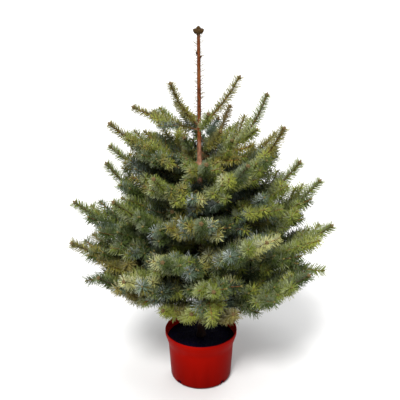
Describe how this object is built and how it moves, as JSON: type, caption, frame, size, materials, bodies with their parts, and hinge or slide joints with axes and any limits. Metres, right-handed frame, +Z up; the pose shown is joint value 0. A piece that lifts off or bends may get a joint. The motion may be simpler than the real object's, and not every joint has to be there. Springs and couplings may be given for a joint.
{
  "type": "potted christmas tree",
  "caption": "Young fir or spruce with whorls of needled boughs round a straight stem and a bare leader, growing in a round nursery pot; stands on the floor or a table as a Christmas tree.",
  "frame": {"origin": "middle of the pot's flat underside, on the floor plane", "axes": "+Z up along the stem, -Y the front, +X to the right as seen from the front"},
  "size_m": [0.7499, 0.6194, 1.083],
  "materials": {
    "pot_plastic": "satin red moulded plastic",
    "compost": "dark moist peat compost, rough and crumbly",
    "bark": "thin red-brown young bark, rough",
    "needles": "short green needles in dense sprays, slight waxy sheen"
  },
  "bodies": {
    "root": {"pot": "pot_plastic", "soil": "compost", "trunk": "bark", "bough_e1": "bark", "bough_e2": "bark", "bough_e3": "bark", "bough_e4": "bark", "bough_e5": "bark", "bough_e6": "bark", "bough_f1": "bark", "bough_f2": "bark", "bough_f3": "bark", "bough_f4": "bark", "bough_f5": "bark", "bough_f6": "bark", "bough_g1": "bark", "bough_g2": "bark", "bough_g3": "bark", "bough_g4": "bark", "foliage_a1": "needles", "foliage_a2": "needles", "foliage_a3": "needles", "foliage_a4": "needles", "foliage_a5": "needles", "foliage_b1": "needles", "foliage_b2": "needles", "foliage_b3": "needles", "foliage_b4": "needles", "foliage_b5": "needles", "foliage_c1": "needles", "foliage_c2": "needles", "foliage_c3": "needles", "foliage_c4": "needles", "foliage_c5": "needles", "foliage_c6": "needles", "foliage_d1": "needles", "foliage_d2": "needles", "foliage_d3": "needles", "foliage_d4": "needles", "foliage_d5": "needles", "foliage_d6": "needles", "foliage_e1": "needles", "foliage_e2": "needles", "foliage_e3": "needles", "foliage_e4": "needles", "foliage_e5": "needles", "foliage_e6": "needles", "foliage_f1": "needles", "foliage_f2": "needles", "foliage_f3": "needles", "foliage_f4": "needles", "foliage_f5": "needles", "foliage_f6": "needles", "foliage_g1": "needles", "foliage_g2": "needles", "foliage_g3": "needles", "foliage_g4": "needles", "foliage_h1": "needles", "foliage_h2": "needles", "foliage_h3": "needles"}
  },
  "joints": []
}
